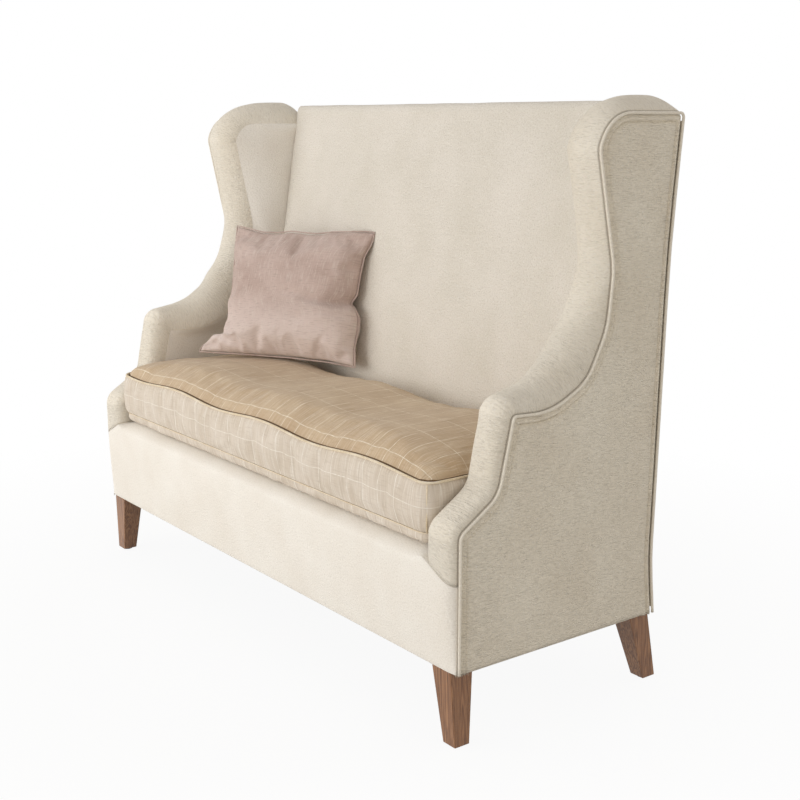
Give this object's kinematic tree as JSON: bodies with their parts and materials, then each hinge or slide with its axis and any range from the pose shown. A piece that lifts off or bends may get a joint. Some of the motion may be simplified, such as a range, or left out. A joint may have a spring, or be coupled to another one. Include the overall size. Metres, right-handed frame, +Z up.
{
  "type": "settee",
  "caption": "High-backed settee with padded wings flowing into low arms, a loose box seat cushion, a loose scatter cushion and tapered square legs.",
  "frame": {"origin": "on the floor under the middle of the settee's outer box", "axes": "+Z up, -Y to the front where a sitter's feet go, +X to the right as seen from the front"},
  "size_m": [1.419, 0.5463, 1.147],
  "materials": {
    "cream_weave": "matte hairy cream weave",
    "cream_piping": "matte cream cloth over cord",
    "windowpane_cloth": "matte brushed check",
    "slubbed_linen": "matte slubbed linen",
    "oak": "oiled",
    "beech": "planed, unfinished",
    "plywood": "sawn, unfinished",
    "zinc_steel": "zinc plated",
    "nylon": "matte",
    "webbing": "woven jute",
    "deck_cloth": "matte plain cotton over wadding",
    "dust_cloth": "matte non-woven",
    "foam": "open foam",
    "zip_tape": "matte woven tape"
  },
  "bodies": {
    "settee": {"front_seat_rail": "beech", "rear_seat_rail": "beech", "side_seat_rail_left": "beech", "side_seat_rail_right": "beech", "seat_centre_brace": "beech", "corner_blocks": "beech", "corner_block_screws": "zinc_steel", "frame_dowels": "beech", "side_board_left": "plywood", "side_board_right": "plywood", "back_post_left": "beech", "back_post_right": "beech", "back_top_rail": "beech", "back_lower_rail": "beech", "back_centre_stile": "beech", "front_leg_left": "oak", "front_leg_right": "oak", "rear_leg_left": "oak", "rear_leg_right": "oak", "leg_plates": "zinc_steel", "leg_hanger_bolts": "zinc_steel", "leg_glides": "nylon", "seat_webbing_long": "webbing", "seat_webbing_cross": "webbing", "back_webbing": "webbing", "seat_deck_pad": "deck_cloth", "dust_cover": "dust_cloth", "front_border": "cream_weave", "inside_back_pad": "cream_weave", "wing_arm_pad_left": "cream_weave", "wing_arm_pad_right": "cream_weave", "outside_cover_left": "cream_weave", "outside_cover_right": "cream_weave", "side_piping_left": "cream_piping", "side_piping_right": "cream_piping", "outside_back_cover": "cream_weave"},
    "seat_cushion": {"seat_cushion_cover": "windowpane_cloth", "seat_cushion_core": "foam", "seat_cushion_piping": "windowpane_cloth", "seat_cushion_zip": "zip_tape"},
    "zip_slider": {"zip_slider": "zinc_steel"},
    "scatter_cushion": {"scatter_cushion": "slubbed_linen"}
  },
  "joints": [
    {"name": "seat_cushion_pull", "type": "slide", "parent": "settee", "child": "seat_cushion", "axis": [0, -1, 0], "range_m": [0, 0.25]},
    {"name": "zip_slide", "type": "slide", "parent": "seat_cushion", "child": "zip_slider", "axis": [-1, 0, 0], "range_m": [0, 0.99]},
    {"name": "scatter_cushion_lift", "type": "slide", "parent": "seat_cushion", "child": "scatter_cushion", "axis": [0, 0, 1], "range_m": [0, 0.3]}
  ]
}
